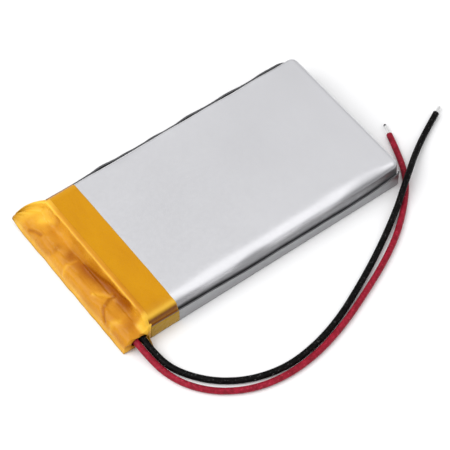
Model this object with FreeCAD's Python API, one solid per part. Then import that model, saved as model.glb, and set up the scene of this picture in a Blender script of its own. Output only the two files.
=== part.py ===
"""Lithium-ion pouch cell with a protection circuit, an amber end tape and two flying leads.

Frame: the origin is on the underside, midway along the cell's length and on the middle plane of
its body. +X runs along the cell from the terminal end to the folded end, +Y across it, +Z up.
Units are millimetres. The cell lies flat with its leads on the same surface.
"""

import FreeCAD, Part
import math
import os

V = FreeCAD.Vector

# Driving dimensions of the cell
LENGTH = 65.0
WIDTH = 34.2
BODY_TOP = 6.5
TERMINAL_WALL = -26.8
TAPE_EDGE = -20.4
FILM = 0.15
TAPE = 0.1

X_END = LENGTH / 2
X_LIP = -LENGTH / 2
X_BEND = TERMINAL_WALL + 0.8  # where the end tape starts to turn over the edge of the body

# Pouch: a deep-drawn cup over a flat cover, with both side seals folded up against the cup
SIDE_FACE = WIDTH / 2 - TAPE  # outer face of the folded side seal
CUP_HALF = SIDE_FACE - 2 * FILM - 0.2
COVER_TOP = TAPE + FILM
SEAL_TOP_NEAR = 4.0
SEAL_TOP_FAR = 5.25
TAPE_STEP = 0.35  # height over which the tape comes in from a seal's edge to the wall
EDGE_RADIUS = 1.4
TERMINAL_EDGE_RADIUS = 0.8
CORNER_RADIUS = 1.3
FOLD_CENTRE_Y = CUP_HALF + 0.1
FOLD_CENTRE_Z = COVER_TOP + 0.25
TERRACE_END = -30.9
TERRACE_HALF = 15.9

# Wound electrode roll, flat, with its winding axis along X
ROLL_X0 = -24.0
ROLL_X1 = 31.9
ROLL_TURNS = 6
SEPARATOR_T = 0.03
ELECTRODE_T = 0.185
PITCH = 2 * (SEPARATOR_T + ELECTRODE_T)
CORE_SLOT = 0.15
ROLL_HALF_WIDTH = 16.1
ROLL_FLOOR = COVER_TOP + 0.06
ROLL_MID_Z = ROLL_FLOOR + CORE_SLOT / 2 + (ROLL_TURNS + 0.5) * PITCH
ROLL_STRAIGHT = ROLL_HALF_WIDTH - (CORE_SLOT / 2 + (ROLL_TURNS + 0.75) * PITCH)
ROLL_TAPE_T = 0.05

# Tabs and their sealant sleeves
TAB_Y = 7.0
TAB_WIDTH = 4.0
TAB_T = 0.1
TAB_ROOT_X = -12.0
SEALANT_WIDTH = 7.0
SEALANT_T = 0.1
SEALANT_X0 = -31.2
SEALANT_X1 = -26.3
TAB_Z = COVER_TOP + SEALANT_T + TAB_T / 2
SLEEVE_TOP = COVER_TOP + 2 * SEALANT_T + TAB_T
BRIDGE_TOP = SLEEVE_TOP + FILM
TAB_FOLD_X = -31.65

# Circuit board, lying on the terrace
BOARD_X0 = -31.3
BOARD_X1 = -27.5
BOARD_HALF = 14.5
BOARD_T = 0.8
PAD_TAPE_T = 0.1
BOARD_Z = BRIDGE_TOP + PAD_TAPE_T
BOARD_TOP = BOARD_Z + BOARD_T
COPPER_T = 0.05
PAD_TOP = BOARD_TOP + COPPER_T
NICKEL_T = 0.15
NICKEL_TOP = PAD_TOP + NICKEL_T

# End tape
LEDGE_TOP = 3.2
LEDGE_EDGE_X = -31.65
LIP_X = -32.1
CAP_HALF = CUP_HALF + TAPE
GATHER_END = 19.9  # the tape's far end is gathered and stands out past the body

# Leads: insulation diameter, stripped core, and the points that each route follows
LEAD_D = 1.25
CORE_R = 0.28
LEAD_REST_Z = 0.64
LEAD_EXIT_Z = 2.3
LEAD_ROOT_Y = -13.2
CORE_ROOT_Y = -10.4
RED_TIP = 2.6
BLACK_TIP = 1.8
RED_ROUTE = [
    (-29.8, LEAD_ROOT_Y, LEAD_EXIT_Z), (-29.8, -16.9, LEAD_EXIT_Z), (-29.5, -20.6, 1.35),
    (-28.9, -24.6, LEAD_REST_Z), (-27.2, -29.2, LEAD_REST_Z), (-23.6, -33.6, LEAD_REST_Z),
    (-18.0, -37.0, LEAD_REST_Z), (-11.2, -38.4, LEAD_REST_Z), (-4.0, -37.9, LEAD_REST_Z),
    (3.2, -36.0, LEAD_REST_Z), (10.2, -33.2, LEAD_REST_Z), (17.2, -30.1, LEAD_REST_Z),
    (23.4, -26.7, LEAD_REST_Z), (28.9, -22.4, LEAD_REST_Z), (33.6, -17.6, LEAD_REST_Z),
    (36.3, -12.0, LEAD_REST_Z), (38.0, -6.9, LEAD_REST_Z),
]
BLACK_ROUTE = [
    (-28.4, LEAD_ROOT_Y, LEAD_EXIT_Z), (-28.4, -16.9, LEAD_EXIT_Z), (-28.2, -20.5, 1.4),
    (-27.5, -24.2, LEAD_REST_Z), (-25.4, -28.3, LEAD_REST_Z), (-21.8, -32.3, LEAD_REST_Z),
    (-16.6, -35.4, LEAD_REST_Z), (-10.2, -36.9, LEAD_REST_Z), (-3.4, -36.3, LEAD_REST_Z),
    (3.4, -34.4, LEAD_REST_Z), (10.2, -31.4, LEAD_REST_Z), (16.8, -28.1, LEAD_REST_Z),
    (22.6, -24.8, LEAD_REST_Z), (27.4, -22.0, 1.5), (30.9, -19.6, 2.45),
    (34.6, -17.0, 2.45), (38.6, -14.0, 1.25), (43.6, -10.9, LEAD_REST_Z),
    (48.8, -8.3, LEAD_REST_Z),
]


# ---------------------------------------------------------------- helpers
def box(x0, x1, y0, y1, z0, z1):
    return Part.makeBox(x1 - x0, y1 - y0, z1 - z0, V(x0, y0, z0))


def across(u, v):
    """A point of a section that is extruded along X: u is Y and v is Z."""
    return V(0, u, v)


def along(u, v):
    """A point of a section that is extruded along Y: u is X and v is Z."""
    return V(u, 0, v)


def cornered_edges(points, radii, closed, plane):
    """Lines joined by tangent arcs: points are (u, v), and radii gives the arc at each point."""
    count = len(points)
    tangents = []
    for i, (u, v) in enumerate(points):
        if radii[i] == 0 or (not closed and i in (0, count - 1)):
            tangents.append(None)
            continue
        before, after = points[i - 1], points[(i + 1) % count]
        a = V(before[0] - u, before[1] - v, 0).normalize()
        b = V(after[0] - u, after[1] - v, 0).normalize()
        half = a.getAngle(b) / 2
        reach = radii[i] / math.tan(half)
        corner = V(u, v, 0)
        middle = corner + (a + b).normalize() * (radii[i] / math.sin(half) - radii[i])
        tangents.append((corner + a * reach, middle, corner + b * reach))
    edges = []
    for i in range(count if closed else count - 1):
        j = (i + 1) % count
        start = tangents[i][2] if tangents[i] else V(*points[i], 0)
        end = tangents[j][0] if tangents[j] else V(*points[j], 0)
        if (end - start).Length > 1e-6:
            edges.append(Part.LineSegment(plane(start.x, start.y), plane(end.x, end.y)).toShape())
        if tangents[j] and (closed or j < count - 1):
            arc = [plane(p.x, p.y) for p in tangents[j]]
            edges.append(Part.Arc(*arc).toShape())
    return edges


def section(points, radii, plane):
    return Part.Face(Part.Wire(cornered_edges(points, radii, True, plane)))


def prism(face, plane, start, end):
    """Extrudes a section made at 0 from start to end along the axis that its plane leaves out."""
    way = V(1, 0, 0) if plane is across else V(0, 1, 0)
    moved = face.copy()
    moved.translate(way * start)
    return moved.extrude(way * (end - start))


def offset_points(points, distance):
    """The points of an open path moved sideways, mitred at each corner."""
    moved = []
    for i, (u, v) in enumerate(points):
        normals = []
        for a, b in ((i - 1, i), (i, i + 1)):
            if 0 <= a and b < len(points):
                run = V(points[b][0] - points[a][0], points[b][1] - points[a][1], 0).normalize()
                normals.append(V(-run.y, run.x, 0))
        mitre = normals[0] if len(normals) == 1 else (normals[0] + normals[1]).normalize()
        reach = distance / mitre.dot(normals[0])
        moved.append((u + mitre.x * reach, v + mitre.y * reach))
    return moved


def turn_sign(points, i):
    """+1 where an open path turns left at point i, and -1 where it turns right."""
    a = V(points[i][0] - points[i - 1][0], points[i][1] - points[i - 1][1], 0)
    b = V(points[i + 1][0] - points[i][0], points[i + 1][1] - points[i][1], 0)
    return 1 if a.cross(b).z > 0 else -1


def ribbon(points, radii, thickness, plane, start, end):
    """A sheet of even thickness whose middle follows an open path with rounded bends."""
    half = thickness / 2
    left, left_radii = offset_points(points, half), [0.0] * len(points)
    right, right_radii = offset_points(points, -half), [0.0] * len(points)
    for i in range(1, len(points) - 1):
        if radii[i] > 0:
            left_radii[i] = radii[i] - half * turn_sign(points, i)
            right_radii[i] = radii[i] + half * turn_sign(points, i)
    face = section(left + right[::-1], left_radii + right_radii[::-1], plane)
    return prism(face, plane, start, end)


def export(name, *solids):
    shape = solids[0] if len(solids) == 1 else Part.makeCompound(list(solids))
    if not shape.isValid():
        raise ValueError(f"{name} isn't valid")
    shape.exportStep(f"parts/{name}.step")


# ---------------------------------------------------------------- pouch
def rounded_block(grow, floor):
    """The body's block, smaller by -grow all round, with rounded top edges and upright corners."""
    x0, x1, half = TERMINAL_WALL - grow, X_END + grow, CUP_HALF + grow
    block = box(x0, x1, -half, half, floor, BODY_TOP + grow)
    upright = [e for e in block.Edges if abs(e.tangentAt(e.FirstParameter).z) > 0.9]
    block = block.makeFillet(CORNER_RADIUS + grow, upright)
    top = [e for e in block.Edges if e.BoundBox.ZMin > BODY_TOP + grow - 1e-6]
    terminal = [e for e in top if e.BoundBox.XMax < x0 + 1e-6]
    others = [e for e in top if e.BoundBox.XMax >= x0 + 1e-6]
    return block.makeFillet(TERMINAL_EDGE_RADIUS + grow, terminal + others)


def side_seal_fold(side, top):
    """The cup's own layer of a folded side seal: from its wall, round the fold and up."""
    bend = FOLD_CENTRE_Y - CUP_HALF + FILM / 2
    inner, outer = FOLD_CENTRE_Y - bend, FOLD_CENTRE_Y + bend
    low = FOLD_CENTRE_Z - bend
    path = [(side * inner, FOLD_CENTRE_Z + 0.3), (side * inner, low),
            (side * outer, low), (side * outer, top)]
    near_fold = ribbon(path, [0, bend - 1e-4, bend - 1e-4, 0], FILM, across,
                       TERMINAL_WALL + CORNER_RADIUS, X_END - CORNER_RADIUS)
    upright = box(X_BEND + 0.1, X_END - 0.2, min(side * (outer - FILM / 2), side * (outer + FILM / 2)),
                  max(side * (outer - FILM / 2), side * (outer + FILM / 2)), FOLD_CENTRE_Z, top)
    return near_fold.fuse(upright)


def pouch_cup():
    cup = rounded_block(0, COVER_TOP).cut(rounded_block(-FILM, COVER_TOP - 1))
    for side, top in ((-1, SEAL_TOP_NEAR), (1, SEAL_TOP_FAR)):
        y0, y1 = sorted((side * (CUP_HALF - FILM), side * (CUP_HALF + 1)))
        cup = cup.cut(box(TERMINAL_WALL + CORNER_RADIUS, X_END - CORNER_RADIUS, y0, y1,
                          0, FOLD_CENTRE_Z))
        cup = cup.fuse(side_seal_fold(side, top))
    cup = cup.fuse(box(TERRACE_END, TERMINAL_WALL + FILM, -TERRACE_HALF, TERRACE_HALF,
                       COVER_TOP, COVER_TOP + FILM))
    for y in (-TAB_Y, TAB_Y):
        half = SEALANT_WIDTH / 2
        cup = cup.fuse(box(TERRACE_END, TERMINAL_WALL + FILM, y - half - FILM, y + half + FILM,
                           COVER_TOP, BRIDGE_TOP))
        cup = cup.cut(box(TERRACE_END - 1, TERMINAL_WALL + 1, y - half, y + half,
                          COVER_TOP - 1, SLEEVE_TOP))
    return cup.removeSplitter()


def pouch_cover():
    """The flat half of the laminate. Under the tape its underside steps in by the tape's own
    thickness, so that the whole underside is one plane."""
    bend = SIDE_FACE - FILM / 2 - FOLD_CENTRE_Y
    y, z = SIDE_FACE - FILM / 2, COVER_TOP - FILM / 2
    path = [(-y, SEAL_TOP_NEAR), (-y, z), (y, z), (y, SEAL_TOP_FAR)]
    bend -= 0.001  # the cup's layer inside the fold clears this bend by a hair
    folded = ribbon(path, [0, bend, bend, 0], FILM, across, X_BEND + 0.1, X_END - 0.2)
    flat = box(X_BEND, X_END, -FOLD_CENTRE_Y, FOLD_CENTRE_Y, TAPE, COVER_TOP)
    end = box(TERMINAL_WALL, X_BEND, -CUP_HALF, CUP_HALF, TAPE, COVER_TOP)
    terrace = box(TERRACE_END, TERMINAL_WALL, -TERRACE_HALF, TERRACE_HALF, TAPE, COVER_TOP)
    pad = box(TAPE_EDGE, X_END, -FOLD_CENTRE_Y, FOLD_CENTRE_Y, 0, TAPE)
    return folded.multiFuse([flat, end, terrace, pad]).removeSplitter()


# ---------------------------------------------------------------- electrode roll
def spiral_points(start_height):
    """Edges of a flat spiral: straight runs over and under, half circles at the two sides."""
    edges = []
    for turn in range(ROLL_TURNS):
        over = start_height + turn * PITCH
        under = over + PITCH / 2
        following = over + PITCH
        a, mid = ROLL_STRAIGHT, ROLL_MID_Z
        edges.append(Part.LineSegment(V(0, -a, mid + over), V(0, a, mid + over)))
        edges.append(Part.Arc(V(0, a, mid + over), V(0, a + (over + under) / 2, mid + (over - under) / 2),
                              V(0, a, mid - under)))
        edges.append(Part.LineSegment(V(0, a, mid - under), V(0, -a, mid - under)))
        edges.append(Part.Arc(V(0, -a, mid - under),
                              V(0, -a - (under + following) / 2, mid + (following - under) / 2),
                              V(0, -a, mid + following)))
    return [e.toShape() for e in edges]


def winding(depth, thickness, x0, x1):
    """One wound foil: the space between two flat spirals, depth and depth + thickness deep."""
    inner = spiral_points(CORE_SLOT / 2 + depth)
    outer = spiral_points(CORE_SLOT / 2 + depth + thickness)
    first = Part.LineSegment(inner[0].Vertexes[0].Point, outer[0].Vertexes[0].Point).toShape()
    last = Part.LineSegment(inner[-1].Vertexes[-1].Point, outer[-1].Vertexes[-1].Point).toShape()
    wire = Part.Wire(Part.__sortEdges__([first] + outer + [last] + inner))
    return prism(Part.Face(wire), across, x0, x1)


def roll_tape():
    """The strip that holds the end of the winding, flat on the underside of the roll."""
    return box(ROLL_X0 + 6, ROLL_X1 - 6, -4.5, 4.5, ROLL_FLOOR - ROLL_TAPE_T, ROLL_FLOOR)


# ---------------------------------------------------------------- tabs
def tab(y):
    """A flat strip from the core of the roll, through the seal and back over the board."""
    path = [(TAB_ROOT_X, ROLL_MID_Z), (ROLL_X0 - 0.4, ROLL_MID_Z), (SEALANT_X1 + 0.4, TAB_Z),
            (TAB_FOLD_X, TAB_Z), (TAB_FOLD_X, NICKEL_TOP + TAB_T / 2),
            (TAB_FOLD_X + 3.0, NICKEL_TOP + TAB_T / 2)]
    radii = [0, 0.5, 0.5, 0.25, 0.25, 0]
    return ribbon(path, radii, TAB_T, along, y - TAB_WIDTH / 2, y + TAB_WIDTH / 2)


def tab_sealant(y):
    half = SEALANT_WIDTH / 2
    sleeve = box(SEALANT_X0, SEALANT_X1, y - half, y + half, COVER_TOP, SLEEVE_TOP)
    slot = box(SEALANT_X0 - 1, SEALANT_X1 + 1, y - TAB_WIDTH / 2, y + TAB_WIDTH / 2,
               TAB_Z - TAB_T / 2, TAB_Z + TAB_T / 2)
    return sleeve.cut(slot)


# ---------------------------------------------------------------- circuit board
def circuit_board():
    board = box(BOARD_X0, BOARD_X1, -BOARD_HALF, BOARD_HALF, BOARD_Z, BOARD_TOP)
    upright = [e for e in board.Edges if abs(e.tangentAt(e.FirstParameter).z) > 0.9]
    return board.makeFillet(0.3, upright)


def board_pads():
    """Tinned copper pads: two for the nickel plates, two for the leads."""
    pads = [box(-31.1, -27.9, y - 1.6, y + 1.6, BOARD_TOP, PAD_TOP) for y in (-TAB_Y, TAB_Y)]
    for route in (RED_ROUTE, BLACK_ROUTE):
        x = route[0][0]
        pads.append(box(x - 0.55, x + 0.55, -12.4, -9.8, BOARD_TOP, PAD_TOP))
    return pads


def nickel_plate(y):
    plate = box(-31.1, -27.9, y - 1.5, y + 1.5, PAD_TOP, NICKEL_TOP)
    upright = [e for e in plate.Edges if abs(e.tangentAt(e.FirstParameter).z) > 0.9]
    return plate.makeFillet(0.3, upright)


CHIP_X = -29.4
CHIP_Y = {"protection_chip": -2.0, "switch_chip": 2.0}
CHIP_LENGTH = 2.9
CHIP_WIDTH = 1.6
CHIP_HEIGHT = 1.05
CHIP_GAP = 0.08
LEG_PITCH = 0.95
LEG_WIDTH = 0.38
LEG_T = 0.12
LEG_REACH = 0.6


def chip_body(y):
    """A moulded six-leg package with drafted sides."""
    low, high = BOARD_TOP + CHIP_GAP, BOARD_TOP + CHIP_GAP + CHIP_HEIGHT
    body = box(CHIP_X - CHIP_WIDTH / 2, CHIP_X + CHIP_WIDTH / 2,
               y - CHIP_LENGTH / 2, y + CHIP_LENGTH / 2, low, high)
    top = [e for e in body.Edges if e.BoundBox.ZMin > high - 1e-6]
    body = body.makeChamfer(0.12, top)
    dot = Part.makeCylinder(0.18, 0.05, V(CHIP_X - 0.45, y - 1.05, high - 0.05))
    return body.cut(dot)


def chip_legs():
    legs = []
    mid = BOARD_TOP + CHIP_GAP + CHIP_HEIGHT / 2
    for y in CHIP_Y.values():
        for place in (-1, 0, 1):
            for side in (-1, 1):
                root = CHIP_X + side * CHIP_WIDTH / 2
                path = [(root, mid), (root + side * 0.25, mid),
                        (root + side * 0.3, BOARD_TOP + LEG_T / 2),
                        (root + side * LEG_REACH, BOARD_TOP + LEG_T / 2)]
                middle = y + place * LEG_PITCH
                legs.append(ribbon(path, [0, 0.08, 0.08, 0], LEG_T, along,
                                   middle - LEG_WIDTH / 2, middle + LEG_WIDTH / 2))
    return legs


SMALL_PART_LENGTH = 1.6
SMALL_PART_WIDTH = 0.8
SMALL_PART_CAP = 0.3


def small_part(y, height):
    """The ceramic middle and the two end caps of one small surface-mounted part."""
    x0, x1 = CHIP_X - SMALL_PART_LENGTH / 2, CHIP_X + SMALL_PART_LENGTH / 2
    y0, y1 = y - SMALL_PART_WIDTH / 2, y + SMALL_PART_WIDTH / 2
    middle = box(x0 + SMALL_PART_CAP, x1 - SMALL_PART_CAP, y0, y1, BOARD_TOP, BOARD_TOP + height)
    caps = [box(a, a + SMALL_PART_CAP, y0, y1, BOARD_TOP, BOARD_TOP + height + 0.02)
            for a in (x0, x1 - SMALL_PART_CAP)]
    return middle, caps


RESISTOR_YS = (10.1, 11.5)
CAPACITOR_Y = 12.9


# ---------------------------------------------------------------- leads
def lead_path(route):
    """Straight runs joined by tangent arcs, each as large as its two runs allow."""
    points = [V(*p) for p in route]
    edges, radii = [], []
    at = points[0]
    for before, corner, after in zip(points, points[1:], points[2:]):
        a, b = (before - corner), (after - corner)
        reach = 0.45 * min(a.Length, b.Length)
        a, b = a.normalize(), b.normalize()
        half = a.getAngle(b) / 2
        radius = reach * math.tan(half)
        radii.append(radius)
        enter, leave = corner + a * reach, corner + b * reach
        middle = corner + (a + b).normalize() * (radius / math.sin(half) - radius)
        edges.append(Part.LineSegment(at, enter).toShape())
        edges.append(Part.Arc(enter, middle, leave).toShape())
        at = leave
    edges.append(Part.LineSegment(at, points[-1]).toShape())
    return Part.Wire(edges), radii


def lead(name, route):
    path, radii = lead_path(route)
    start, heading = V(*route[0]), (V(*route[1]) - V(*route[0])).normalize()
    profile = Part.Wire(Part.makeCircle(LEAD_D / 2, start, heading))
    tube = path.makePipeShell([profile], True, False)
    section_area = math.pi * LEAD_D**2 / 4
    print(name, "length", round(path.Length, 2), "smallest radius", round(min(radii), 1),
          "volume ratio", round(tube.Volume / (section_area * path.Length), 4))
    return tube


def lead_tip(route, length):
    """The stripped, tinned end: a cylinder with a rounded end that carries on from the lead."""
    end, heading = V(*route[-1]), (V(*route[-1]) - V(*route[-2])).normalize()
    tip = Part.makeCylinder(CORE_R, length, end, heading)
    rim = [e for e in tip.Edges if e.BoundBox.Center.distanceToPoint(end + heading * length) < 1e-3]
    return tip.makeFillet(CORE_R * 0.6, rim)


def lead_root(route):
    x = route[0][0]
    return Part.makeCylinder(CORE_R, CORE_ROOT_Y - LEAD_ROOT_Y, V(x, LEAD_ROOT_Y, LEAD_EXIT_Z), V(0, 1, 0))


def solder_joint(route):
    """A cone of solder from the pad up round the stripped core."""
    x, y = route[0][0], -11.2
    cone = Part.makeCone(0.54, 0.36, LEAD_EXIT_Z + 0.36 - PAD_TOP, V(x, y, PAD_TOP))
    return cone.cut(lead_root(route))


# ---------------------------------------------------------------- tape
def band_tape():
    """The turn of tape round the body: over the top, down each side, across the underside."""
    y, z = SIDE_FACE, BODY_TOP
    near, far = SEAL_TOP_NEAR, SEAL_TOP_FAR
    inner = [(-y, TAPE), (-y, near + 0.05), (-CUP_HALF, near + TAPE_STEP), (-CUP_HALF, z),
             (CUP_HALF, z), (CUP_HALF, far + TAPE_STEP), (y, far + 0.05), (y, TAPE)]
    outer = [(-y - TAPE, 0), (-y - TAPE, near + 0.1), (-CUP_HALF - TAPE, near + TAPE_STEP + 0.05),
             (-CUP_HALF - TAPE, z + TAPE), (CUP_HALF + TAPE, z + TAPE),
             (CUP_HALF + TAPE, far + TAPE_STEP + 0.05), (y + TAPE, far + 0.1), (y + TAPE, 0)]
    low = SIDE_FACE - FOLD_CENTRE_Y - 0.002
    edge = TERMINAL_EDGE_RADIUS
    hole = prism(section(inner, [low, 0, 0, edge, edge, 0, 0, low], across), across,
                 X_BEND - 1, TAPE_EDGE + 1)
    block = prism(section(outer, [low + TAPE, 0, 0, edge + TAPE, edge + TAPE, 0, 0, low + TAPE], across),
                  across, X_BEND, TAPE_EDGE)
    return block.cut(hole)


def cap_tape():
    """The tape's overhang: over the edge of the body, down its end wall, across the board and
    down to a lip where its two layers meet. The leads leave through its near end."""
    edge = TERMINAL_EDGE_RADIUS
    outer = [(X_BEND, BODY_TOP + TAPE), (TERMINAL_WALL - TAPE, BODY_TOP + TAPE),
             (TERMINAL_WALL - TAPE, LEDGE_TOP), (LEDGE_EDGE_X, LEDGE_TOP), (LIP_X, 2 * TAPE),
             (X_LIP, 2 * TAPE), (X_LIP, 0), (X_BEND, 0)]
    inner = [(X_BEND + 1, BODY_TOP), (TERMINAL_WALL, BODY_TOP), (TERMINAL_WALL, LEDGE_TOP - TAPE),
             (LEDGE_EDGE_X + 0.09, LEDGE_TOP - TAPE), (LIP_X + 0.11, TAPE), (X_BEND + 1, TAPE)]
    block = prism(section(outer, [0, edge + TAPE - 1e-4, 0.4, 0.6, 0.2, 0, 0, 0], along), along,
                  -CAP_HALF, CAP_HALF)
    hollow = prism(section(inner, [0, edge, 0.5, 0.5, 0, 0], along), along, -CUP_HALF, CUP_HALF)
    leads = box(RED_ROUTE[0][0] - LEAD_D / 2 - 0.2, BLACK_ROUTE[0][0] + LEAD_D / 2 + 0.2,
                -CAP_HALF - 1, -CUP_HALF + 1, LEAD_EXIT_Z - LEAD_D / 2 - 0.2,
                LEAD_EXIT_Z + LEAD_D / 2 + 0.05)
    return block.cut(hollow).cut(leads).fuse(gathered_end()).removeSplitter()


def gathered_end():
    """Layers of tape pinched together beyond the far side of the board."""
    root = [(-27.4, 0), (X_LIP, 0), (X_LIP, 0.2), (LEDGE_EDGE_X, LEDGE_TOP - 0.1), (-27.4, 4.6)]
    end = [(-29.4, 0.5), (-32.3, 0.5), (-32.4, 1.5), (-31.3, 2.6), (-29.4, 3.4)]
    rings = []
    for y, ring in ((CAP_HALF, root), (GATHER_END, end)):
        corners = [V(x, y, z) for x, z in ring]
        rings.append(Part.makePolygon(corners + corners[:1]))
    return Part.makeLoft(rings, True, True)


# ---------------------------------------------------------------- the assembly
def main():
    os.makedirs("parts", exist_ok=True)
    export("pouch_cup", pouch_cup())
    export("pouch_cover", pouch_cover())
    first = SEPARATOR_T
    export("separator_inner", winding(0, SEPARATOR_T, ROLL_X0, ROLL_X1))
    export("anode_foil", winding(first, ELECTRODE_T, ROLL_X0 + 0.6, ROLL_X1 - 0.6))
    export("separator_outer", winding(first + ELECTRODE_T, SEPARATOR_T, ROLL_X0, ROLL_X1))
    export("cathode_foil", winding(2 * first + ELECTRODE_T, ELECTRODE_T, ROLL_X0 + 1.0, ROLL_X1 - 1.0))
    export("roll_tape", roll_tape())
    for name, y in (("positive", -TAB_Y), ("negative", TAB_Y)):
        export(f"{name}_tab", tab(y))
        export(f"{name}_tab_sealant", tab_sealant(y))
        export(f"{name}_nickel_plate", nickel_plate(y))
    export("circuit_board", circuit_board())
    export("board_insulating_strip",
           box(BOARD_X0 + 0.1, BOARD_X1 + 0.4, -BOARD_HALF, BOARD_HALF, BRIDGE_TOP, BOARD_Z))
    export("board_pads", *board_pads())
    for name, y in CHIP_Y.items():
        export(name, chip_body(y))
    export("chip_legs", *chip_legs())
    resistors = [small_part(y, 0.45) for y in RESISTOR_YS]
    capacitor = small_part(CAPACITOR_Y, 0.8)
    export("resistor_bodies", *[middle for middle, _ in resistors])
    export("capacitor_body", capacitor[0])
    export("small_part_end_caps", *[c for _, caps in [*resistors, capacitor] for c in caps])
    for name, route, length in (("red", RED_ROUTE, RED_TIP), ("black", BLACK_ROUTE, BLACK_TIP)):
        export(f"{name}_lead", lead(name, route))
        export(f"{name}_lead_tip", lead_tip(route, length))
        export(f"{name}_lead_root", lead_root(route))
    export("solder_joints", solder_joint(RED_ROUTE), solder_joint(BLACK_ROUTE))
    export("band_tape", band_tape())
    export("cap_tape", cap_tape())


main()
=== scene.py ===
import math
from collections import namedtuple

import bmesh
import bpy
from mathutils import Matrix, Vector, geometry, noise


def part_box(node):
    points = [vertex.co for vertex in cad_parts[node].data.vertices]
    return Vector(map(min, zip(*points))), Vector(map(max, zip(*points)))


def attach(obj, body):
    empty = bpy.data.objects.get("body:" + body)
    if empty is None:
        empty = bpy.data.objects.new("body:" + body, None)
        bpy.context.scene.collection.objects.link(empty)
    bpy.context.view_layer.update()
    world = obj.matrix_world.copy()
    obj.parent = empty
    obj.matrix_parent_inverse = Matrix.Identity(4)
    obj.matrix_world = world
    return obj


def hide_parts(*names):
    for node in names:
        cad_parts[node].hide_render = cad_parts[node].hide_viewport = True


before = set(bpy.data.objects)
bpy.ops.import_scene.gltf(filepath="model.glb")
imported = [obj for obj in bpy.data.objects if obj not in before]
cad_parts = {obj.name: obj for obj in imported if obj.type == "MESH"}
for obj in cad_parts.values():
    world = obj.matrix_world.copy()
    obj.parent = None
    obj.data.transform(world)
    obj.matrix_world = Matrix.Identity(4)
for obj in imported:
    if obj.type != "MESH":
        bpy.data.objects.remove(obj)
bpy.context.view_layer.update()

MM = 0.001
ROOT = "root"

# Body and tape sizes in millimetres, from the CAD model
X_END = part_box("pouch_cup")[1].x / MM
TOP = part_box("pouch_cup")[1].z / MM
SEAL_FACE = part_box("pouch_cover")[1].y / MM
BAND_EDGE_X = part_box("band_tape")[1].x / MM
HALF = SEAL_FACE - 0.5  # the cup's wall stands inside its folded seal
WALL_X = -26.8  # the cup's terminal wall
FLOOR = 0.0


# ------------------------------------------------------------------ camera, light and floor
CAMERA_TURN = (-36.559, 54.833, -0.1255)  # azimuth, elevation and roll in degrees
CAMERA_TARGET = (-1.733, -6.413, 3.0)  # millimetres, like the distance
CAMERA_DISTANCE = 367.06
CAMERA_LENS = 156.16
WORLD_LOW = (0.40, 0.40, 0.41, 1)
WORLD_HIGH = (0.74, 0.74, 0.75, 1)
WORLD_HIGH_AT = 0.75  # how far up the world reaches its lighter grey
FLOOR_REACH = 1.5  # metres from the origin to the floor's sides


def make_camera():
    azimuth, elevation, roll = map(math.radians, CAMERA_TURN)
    back = Vector((math.sin(azimuth) * math.cos(elevation),
                   -math.cos(azimuth) * math.cos(elevation), math.sin(elevation)))
    data = bpy.data.cameras.new("camera")
    data.lens = CAMERA_LENS
    data.sensor_width = 36.0
    data.clip_start, data.clip_end = 0.01, 20.0
    camera = bpy.data.objects.new("camera", data)
    bpy.context.collection.objects.link(camera)
    camera.location = Vector(CAMERA_TARGET) * MM + back * CAMERA_DISTANCE * MM
    turn = (-back).to_track_quat("-Z", "Y").to_matrix() @ Matrix.Rotation(roll, 3, "Z")
    camera.rotation_mode = "QUATERNION"
    camera.rotation_quaternion = turn.to_quaternion()
    bpy.context.scene.camera = camera


def area_light(name, place, size, power):
    """A square light that faces the origin. Places and sizes are in metres."""
    data = bpy.data.lights.new(name, "AREA")
    data.shape = "SQUARE"
    data.size = size
    data.energy = power
    light = bpy.data.objects.new(name, data)
    bpy.context.collection.objects.link(light)
    light.location = place
    light.rotation_euler = (-Vector(place)).to_track_quat("-Z", "Y").to_euler()


def make_studio():
    bpy.context.scene.view_settings.view_transform = "Standard"
    world = bpy.data.worlds.new("studio")
    bpy.context.scene.world = world
    world.use_nodes = True
    nodes, links = world.node_tree.nodes, world.node_tree.links
    shade = nodes["Background"]
    shade.inputs["Strength"].default_value = 1.0
    where = nodes.new("ShaderNodeTexCoord")
    parts = nodes.new("ShaderNodeSeparateXYZ")
    ramp = nodes.new("ShaderNodeValToRGB")
    links.new(where.outputs["Generated"], parts.inputs[0])
    links.new(parts.outputs["Z"], ramp.inputs["Fac"])
    links.new(ramp.outputs["Color"], shade.inputs["Color"])
    ramp.color_ramp.elements[0].position = 0.0
    ramp.color_ramp.elements[0].color = WORLD_LOW
    ramp.color_ramp.elements[1].position = WORLD_HIGH_AT
    ramp.color_ramp.elements[1].color = WORLD_HIGH
    area_light("key", place=(0.08, -0.30, 0.42), size=0.60, power=0.60)
    area_light("fill", place=(-0.32, 0.12, 0.45), size=0.50, power=2.1)
    mesh = bpy.data.meshes.new("studio_floor")
    corners = ((-1, -1), (1, -1), (1, 1), (-1, 1))
    mesh.from_pydata([(x * FLOOR_REACH, y * FLOOR_REACH, FLOOR) for x, y in corners], [],
                     [(0, 1, 2, 3)])
    floor = bpy.data.objects.new("studio_floor", mesh)
    bpy.context.collection.objects.link(floor)
    material = bpy.data.materials.new("pale_floor")
    material.use_nodes = True
    shader = material.node_tree.nodes["Principled BSDF"]
    shader.inputs["Base Color"].default_value = (0.93, 0.93, 0.93, 1)
    shader.inputs["Roughness"].default_value = 0.9
    shader.inputs["Specular IOR Level"].default_value = 0.0
    mesh.materials.append(material)


make_camera()
make_studio()


# ------------------------------------------------------------------ materials
NOISE_ROUGHNESS = 0.55
# dark of the laminate's cut edges, also painted shadow of the gap behind each seal and on the
# seals' inside faces
CUT_EDGE_AND_SHADOW = (0.035, 0.035, 0.038)
# paler tape: painted highlights on bends, ridges and ends, and the thin rim before the lip
PALE_AND_HIGHLIT_TAPE = (0.93, 0.56, 0.055)
# painted shade for the tape's sides, underside, lip line, lead opening and gathered end
SHADED_TAPE = (0.37, 0.215, 0.002)
CUT_STRANDS = (0.05, 0.05, 0.055)


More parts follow.
